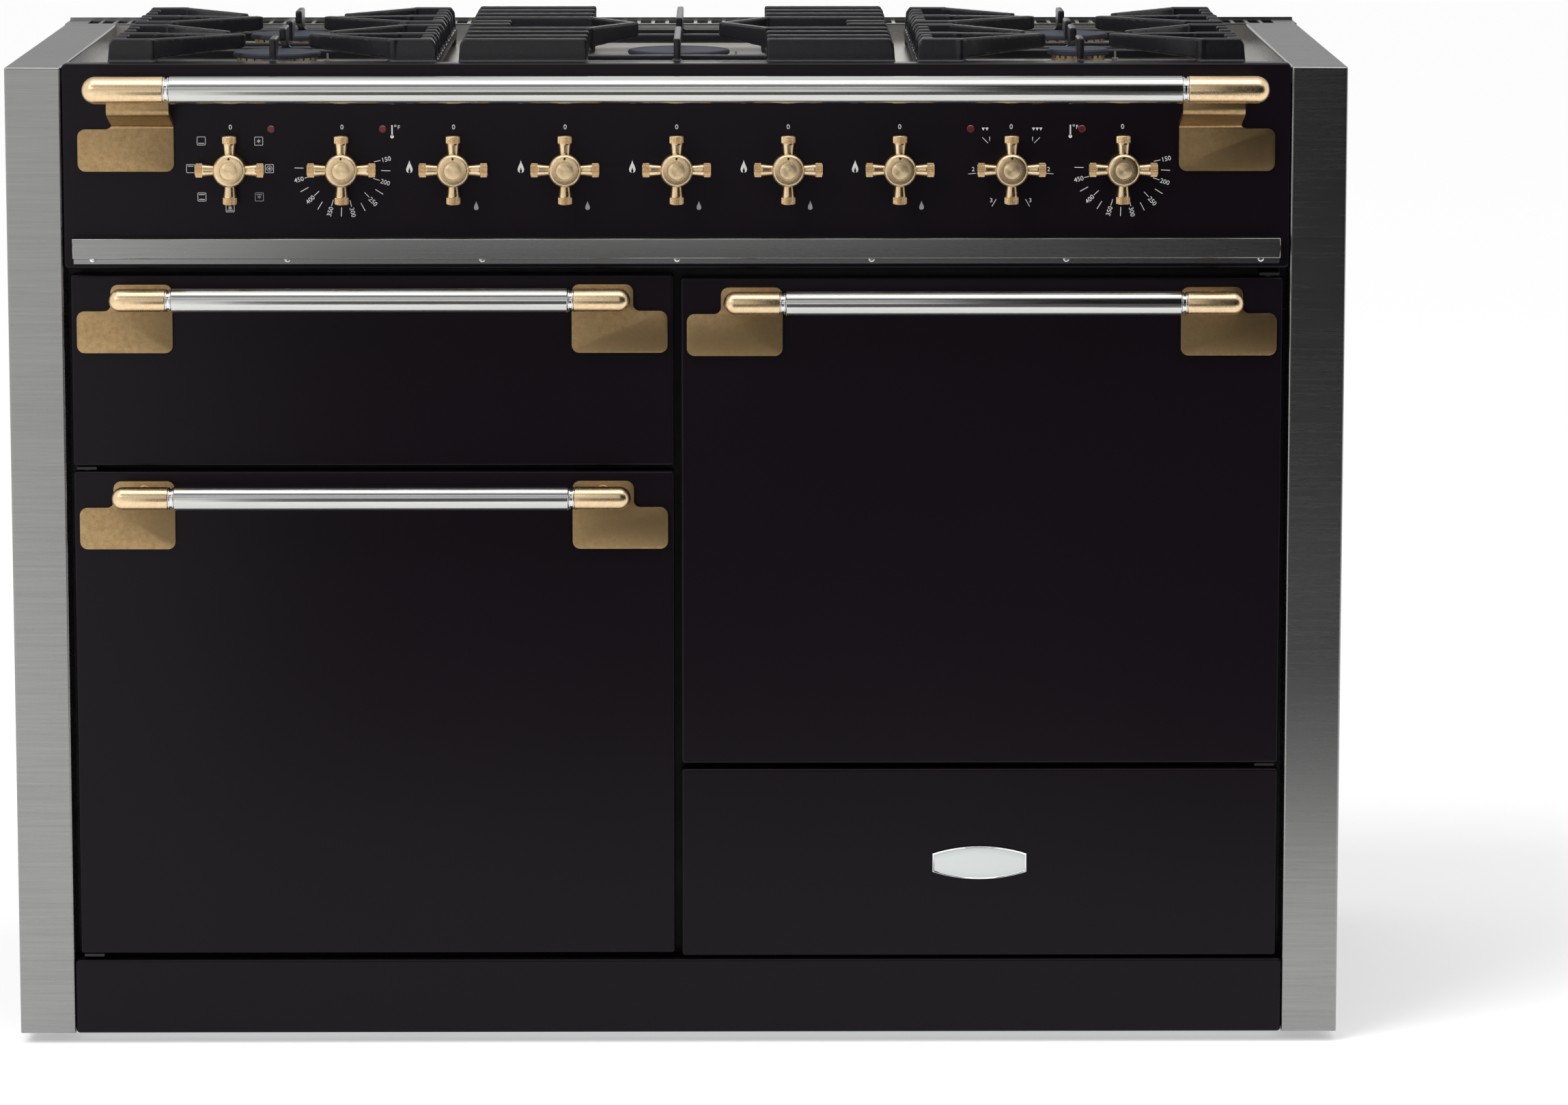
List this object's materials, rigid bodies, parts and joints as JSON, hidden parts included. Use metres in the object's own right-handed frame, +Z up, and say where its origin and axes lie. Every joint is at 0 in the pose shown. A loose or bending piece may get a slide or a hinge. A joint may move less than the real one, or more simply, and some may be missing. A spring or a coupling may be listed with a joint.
{
  "type": "range cooker",
  "caption": "Freestanding range cooker with cast iron grates, cross knobs, bar handles, side-hung oven doors, a glide-out grill and a storage drawer.",
  "frame": {"origin": "centre of the bounding box on the floor, under the levelling feet", "axes": "+Z up, front faces -Y, +X to the right as seen from the front"},
  "size_m": [1.216, 0.6744, 0.9257],
  "materials": {
    "enamel": "gloss enamel, aubergine black",
    "stainless": "brushed, satin",
    "galvanised": "galvanised sheet",
    "brass": "brushed, satin",
    "cast_iron": "enamelled, fine speckle",
    "chrome": "polished",
    "vitreous": "vitreous enamel, dark grey",
    "black_steel": "black, satin",
    "cap_enamel": "matt black enamel",
    "burner_alloy": "cast, satin",
    "heating_rod": "oxidised",
    "lamp_red": "translucent red",
    "badge": "pale enamel in a chrome rim"
  },
  "bodies": {
    "range_body": {"base_tray": "galvanised", "side_panels": "enamel", "back_panel": "galvanised", "side_trims": "stainless", "plinth": "enamel", "levelling_feet": "black_steel", "front_frame": "black_steel", "door_hinges": "galvanised", "control_panel": "enamel", "deflector_rail": "stainless", "deflector_screws": "chrome", "rail_bar": "stainless", "rail_brackets": "brass", "hob_tray": "stainless", "vent_grille": "stainless", "burner_cups": "burner_alloy", "burner_rings": "brass", "burner_caps": "cap_enamel", "control_gear": "galvanised", "indicator_lamps": "lamp_red", "grill_box": "vitreous", "left_oven_box": "vitreous", "right_oven_box": "vitreous", "heating_elements": "heating_rod", "oven_shelves": "chrome"},
    "left_oven_door": {"left_door": "enamel", "left_door_liner": "vitreous", "left_door_bar": "stainless", "left_door_brackets": "brass"},
    "right_oven_door": {"right_door": "enamel", "right_door_liner": "vitreous", "right_door_bar": "stainless", "right_door_brackets": "brass"},
    "grill_unit": {"grill_front": "enamel", "grill_bar": "stainless", "grill_brackets": "brass", "grill_carriage": "galvanised", "grill_pan": "vitreous", "grill_rack": "chrome"},
    "storage_drawer": {"drawer_front": "enamel", "drawer_box": "galvanised", "badge": "badge"},
    "fan": {"oven_fan": "galvanised"},
    "left_grate": {"grate_left": "cast_iron"},
    "centre_grate": {"grate_centre": "cast_iron"},
    "right_grate": {"grate_right": "cast_iron"},
    "control_knob_1": {"knob_1": "brass"},
    "control_knob_2": {"knob_2": "brass"},
    "control_knob_3": {"knob_3": "brass"},
    "gas_spindle_3": {"spindle_3": "chrome"},
    "control_knob_4": {"knob_4": "brass"},
    "gas_spindle_4": {"spindle_4": "chrome"},
    "control_knob_5": {"knob_5": "brass"},
    "gas_spindle_5": {"spindle_5": "chrome"},
    "control_knob_6": {"knob_6": "brass"},
    "gas_spindle_6": {"spindle_6": "chrome"},
    "control_knob_7": {"knob_7": "brass"},
    "gas_spindle_7": {"spindle_7": "chrome"},
    "control_knob_8": {"knob_8": "brass"},
    "control_knob_9": {"knob_9": "brass"}
  },
  "joints": [
    {"name": "left_door_hinge", "type": "hinge", "parent": "range_body", "child": "left_oven_door", "pos_m": [-0.5392, -0.26075, 0.085], "axis": [0, 0, -1], "range_deg": [0, 95]},
    {"name": "right_door_hinge", "type": "hinge", "parent": "range_body", "child": "right_oven_door", "pos_m": [0.5392, -0.26075, 0.2623], "axis": [0, 0, 1], "range_deg": [0, 95]},
    {"name": "grill_glide", "type": "slide", "parent": "range_body", "child": "grill_unit", "axis": [0, -1, 0], "range_m": [0, 0.3]},
    {"name": "drawer_glide", "type": "slide", "parent": "range_body", "child": "storage_drawer", "axis": [0, -1, 0], "range_m": [0, 0.35]},
    {"name": "knob_1_turn", "type": "hinge", "parent": "range_body", "child": "control_knob_1", "pos_m": [-0.404, -0.28875, 0.8107], "axis": [0, -1, 0], "range_deg": [-315, 0]},
    {"name": "knob_2_turn", "type": "hinge", "parent": "range_body", "child": "control_knob_2", "pos_m": [-0.303, -0.28875, 0.8107], "axis": [0, -1, 0], "range_deg": [-270, 0]},
    {"name": "knob_3_push", "type": "slide", "parent": "range_body", "child": "gas_spindle_3", "axis": [0, 1, 0], "range_m": [0, 0.004], "stiffness_N_per_m": 1500, "springref_m": -0.002},
    {"name": "knob_3_turn", "type": "hinge", "parent": "gas_spindle_3", "child": "control_knob_3", "pos_m": [-0.202, -0.28875, 0.8107], "axis": [0, -1, 0], "range_deg": [0, 212]},
    {"name": "knob_4_push", "type": "slide", "parent": "range_body", "child": "gas_spindle_4", "axis": [0, 1, 0], "range_m": [0, 0.004], "stiffness_N_per_m": 1500, "springref_m": -0.002},
    {"name": "knob_4_turn", "type": "hinge", "parent": "gas_spindle_4", "child": "control_knob_4", "pos_m": [-0.101, -0.28875, 0.8107], "axis": [0, -1, 0], "range_deg": [0, 212]},
    {"name": "knob_5_push", "type": "slide", "parent": "range_body", "child": "gas_spindle_5", "axis": [0, 1, 0], "range_m": [0, 0.004], "stiffness_N_per_m": 1500, "springref_m": -0.002},
    {"name": "knob_5_turn", "type": "hinge", "parent": "gas_spindle_5", "child": "control_knob_5", "pos_m": [0, -0.28875, 0.8107], "axis": [0, -1, 0], "range_deg": [0, 212]},
    {"name": "knob_6_push", "type": "slide", "parent": "range_body", "child": "gas_spindle_6", "axis": [0, 1, 0], "range_m": [0, 0.004], "stiffness_N_per_m": 1500, "springref_m": -0.002},
    {"name": "knob_6_turn", "type": "hinge", "parent": "gas_spindle_6", "child": "control_knob_6", "pos_m": [0.101, -0.28875, 0.8107], "axis": [0, -1, 0], "range_deg": [0, 212]},
    {"name": "knob_7_push", "type": "slide", "parent": "range_body", "child": "gas_spindle_7", "axis": [0, 1, 0], "range_m": [0, 0.004], "stiffness_N_per_m": 1500, "springref_m": -0.002},
    {"name": "knob_7_turn", "type": "hinge", "parent": "gas_spindle_7", "child": "control_knob_7", "pos_m": [0.202, -0.28875, 0.8107], "axis": [0, -1, 0], "range_deg": [0, 212]},
    {"name": "knob_8_turn", "type": "hinge", "parent": "range_body", "child": "control_knob_8", "pos_m": [0.303, -0.28875, 0.8107], "axis": [0, -1, 0], "range_deg": [-150, 150]},
    {"name": "knob_9_turn", "type": "hinge", "parent": "range_body", "child": "control_knob_9", "pos_m": [0.404, -0.28875, 0.8107], "axis": [0, -1, 0], "range_deg": [-270, 0]},
    {"name": "fan_spin", "type": "hinge", "parent": "range_body", "child": "fan", "pos_m": [-0.27715, 0.19315, 0.30945], "axis": [0, 1, 0], "continuous": true},
    {"name": "left_grate_lift", "type": "slide", "parent": "range_body", "child": "left_grate", "axis": [0, 0, 1], "range_m": [0, 0.12]},
    {"name": "centre_grate_lift", "type": "slide", "parent": "range_body", "child": "centre_grate", "axis": [0, 0, 1], "range_m": [0, 0.12]},
    {"name": "right_grate_lift", "type": "slide", "parent": "range_body", "child": "right_grate", "axis": [0, 0, 1], "range_m": [0, 0.12]}
  ]
}
